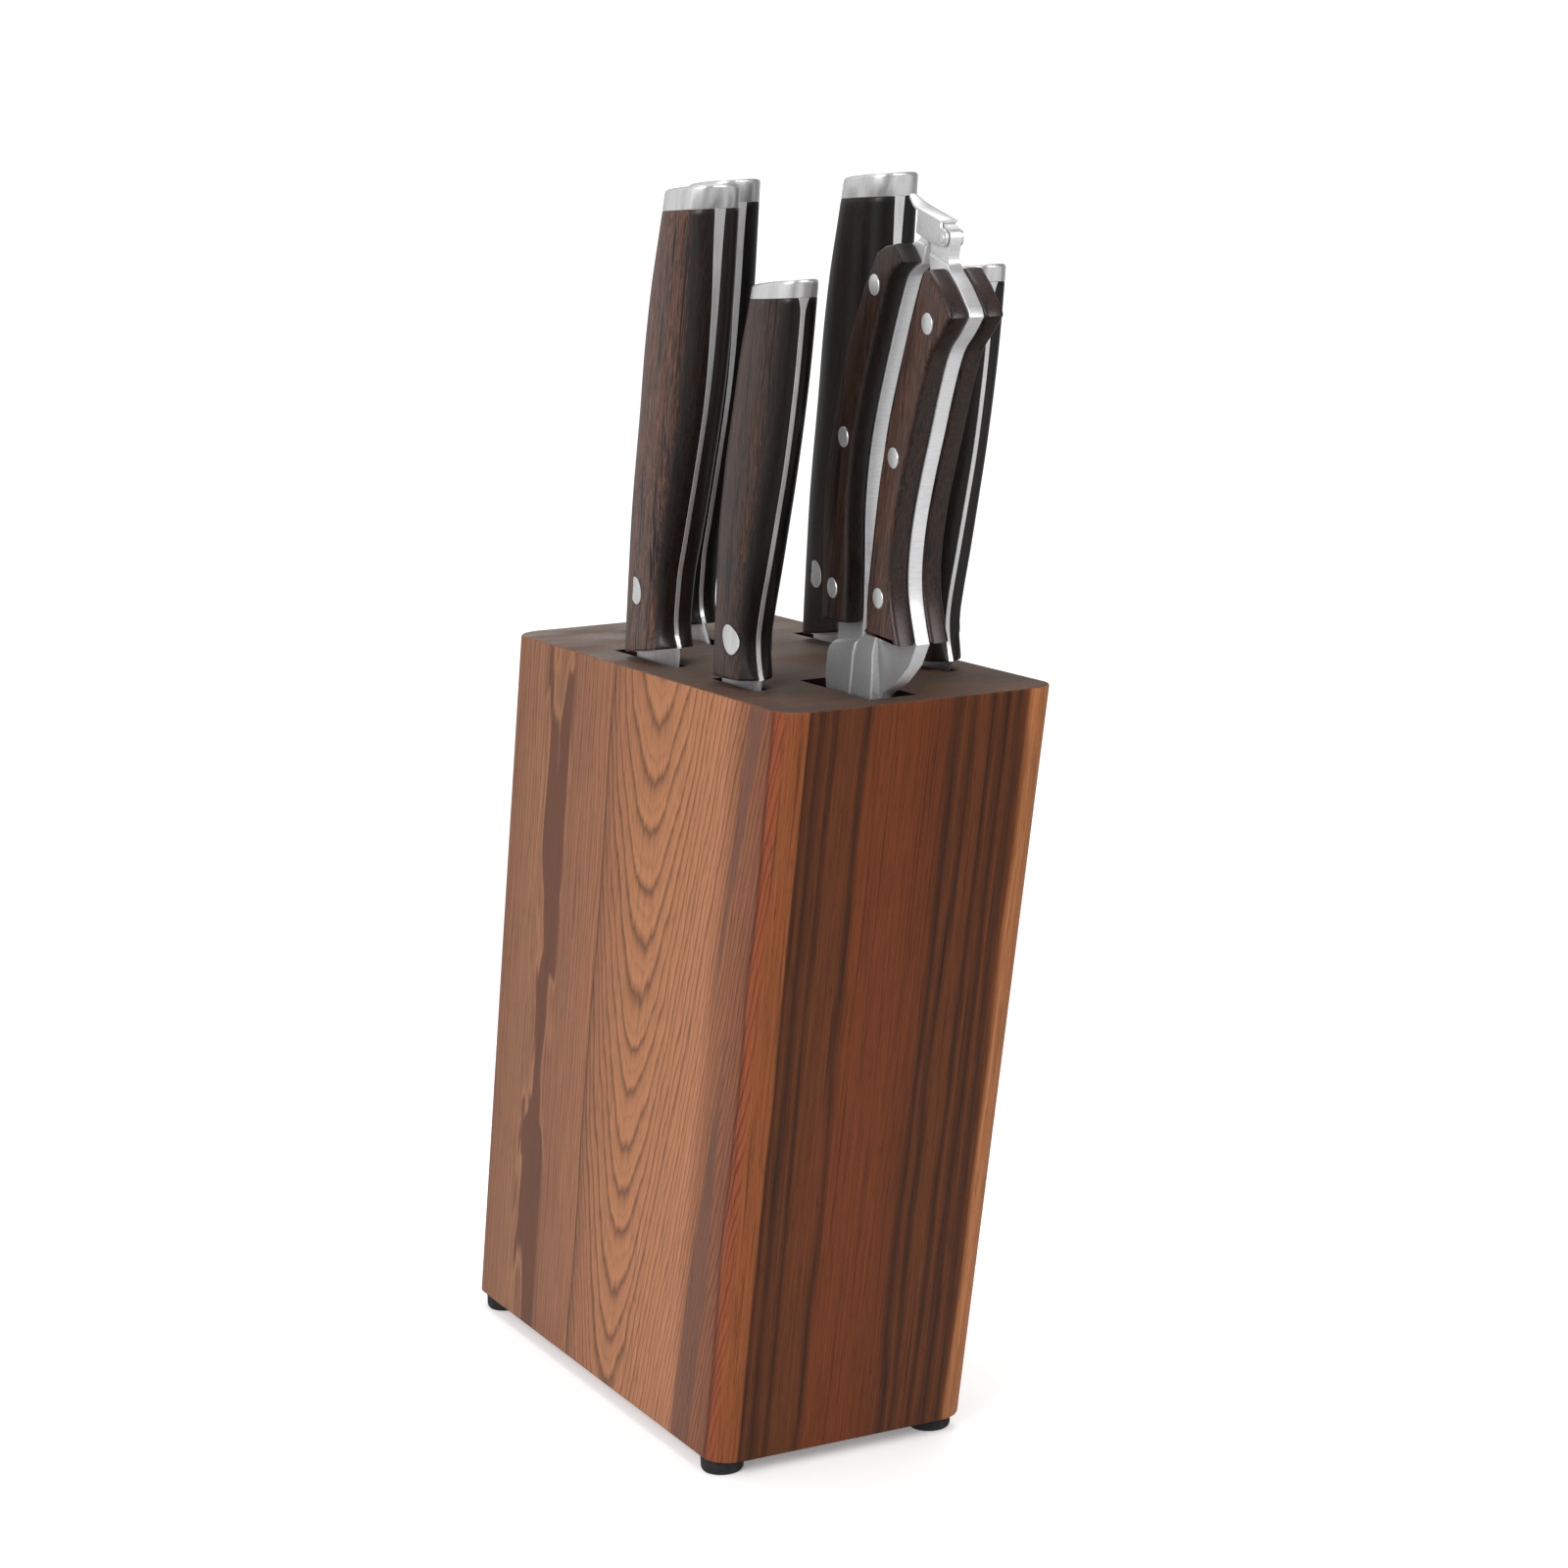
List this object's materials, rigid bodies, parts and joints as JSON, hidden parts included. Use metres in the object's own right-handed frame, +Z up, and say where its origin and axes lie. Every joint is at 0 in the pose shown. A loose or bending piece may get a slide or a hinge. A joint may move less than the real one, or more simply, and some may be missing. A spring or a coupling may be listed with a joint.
{
  "type": "knife block set",
  "caption": "Leaning wooden knife block on rubber feet, holding full-tang knives with dark wood handles and steel end caps, and latched poultry shears.",
  "frame": {"origin": "middle of the bounding box, at the undersides of the feet", "axes": "+Z up; +X across the block's width; the block and its slots lean 15 degrees towards -Y, its front"},
  "size_m": [0.08, 0.2812, 0.3567],
  "materials": {
    "block_wood": "satin oiled walnut-like wood, dark end grain on top",
    "handle_wood": "lacquered dark brown, fine streaks",
    "shears_wood": "lacquered red brown, fine streaks",
    "polished_steel": "polished and satin stainless steel",
    "spring_steel": "plain spring wire",
    "screw_steel": "zinc-plated screws",
    "rubber": "matt black"
  },
  "bodies": {
    "block": {"left_cheek": "block_wood", "right_cheek": "block_wood", "left_spacer_front": "block_wood", "left_spacer_middle": "block_wood", "left_spacer_back": "block_wood", "right_spacer_front": "block_wood", "right_spacer_middle": "block_wood", "right_spacer_back": "block_wood", "left_core": "block_wood", "right_core": "block_wood", "middle_spacer_front": "block_wood", "middle_spacer_centre": "block_wood", "middle_spacer_back": "block_wood", "chef_slot_filler": "block_wood", "front_left_foot": "rubber", "back_left_foot": "rubber", "front_right_foot": "rubber", "back_right_foot": "rubber", "front_left_foot_screw": "screw_steel", "back_left_foot_screw": "screw_steel", "front_right_foot_screw": "screw_steel", "back_right_foot_screw": "screw_steel"},
    "chef_knife": {"chef_knife_blade": "polished_steel", "chef_knife_left_scale": "handle_wood", "chef_knife_right_scale": "handle_wood", "chef_knife_rivet": "polished_steel"},
    "carving_knife": {"carving_knife_blade": "polished_steel", "carving_knife_left_scale": "handle_wood", "carving_knife_right_scale": "handle_wood", "carving_knife_rivet": "polished_steel"},
    "bread_knife": {"bread_knife_blade": "polished_steel", "bread_knife_left_scale": "handle_wood", "bread_knife_right_scale": "handle_wood", "bread_knife_rivet": "polished_steel"},
    "utility_knife": {"utility_knife_blade": "polished_steel", "utility_knife_left_scale": "handle_wood", "utility_knife_right_scale": "handle_wood", "utility_knife_rivet": "polished_steel"},
    "paring_knife": {"paring_knife_blade": "polished_steel", "paring_knife_left_scale": "handle_wood", "paring_knife_right_scale": "handle_wood", "paring_knife_rivet": "polished_steel"},
    "shears_back": {"shears_back_half": "polished_steel", "shears_back_left_scale": "shears_wood", "shears_back_right_scale": "shears_wood", "shears_back_rivet_top": "polished_steel", "shears_back_rivet_middle": "polished_steel", "shears_back_rivet_bottom": "polished_steel", "shears_pivot_screw": "polished_steel", "shears_spring": "spring_steel"},
    "shears_front": {"shears_front_half": "polished_steel", "shears_front_left_scale": "shears_wood", "shears_front_right_scale": "shears_wood", "shears_front_rivet_top": "polished_steel", "shears_front_rivet_middle": "polished_steel", "shears_front_rivet_bottom": "polished_steel", "latch_pin": "polished_steel"},
    "shears_latch": {"shears_latch": "polished_steel"}
  },
  "joints": [
    {"name": "chef_knife_lift", "type": "slide", "parent": "block", "child": "chef_knife", "axis": [0, -0.2588, 0.9659], "range_m": [0, 0.215]},
    {"name": "carving_knife_lift", "type": "slide", "parent": "block", "child": "carving_knife", "axis": [0, -0.2588, 0.9659], "range_m": [0, 0.215]},
    {"name": "bread_knife_lift", "type": "slide", "parent": "block", "child": "bread_knife", "axis": [0, -0.2588, 0.9659], "range_m": [0, 0.215]},
    {"name": "utility_knife_lift", "type": "slide", "parent": "block", "child": "utility_knife", "axis": [0, -0.2588, 0.9659], "range_m": [0, 0.145]},
    {"name": "paring_knife_lift", "type": "slide", "parent": "block", "child": "paring_knife", "axis": [0, -0.2588, 0.9659], "range_m": [0, 0.105]},
    {"name": "shears_lift", "type": "slide", "parent": "block", "child": "shears_back", "axis": [0, -0.2588, 0.9659], "range_m": [0, 0.13]},
    {"name": "shears_squeeze", "type": "hinge", "parent": "shears_back", "child": "shears_front", "pos_m": [-0.0052, -0.06983, 0.20028], "axis": [1, 0, 0], "range_deg": [-0.45, 0], "stiffness_Nm_per_rad": 2},
    {"name": "latch_hinge", "type": "hinge", "parent": "shears_front", "child": "shears_latch", "pos_m": [-0.0052, -0.12827, 0.34188], "axis": [1, 0, 0], "range_deg": [0, 90]}
  ]
}
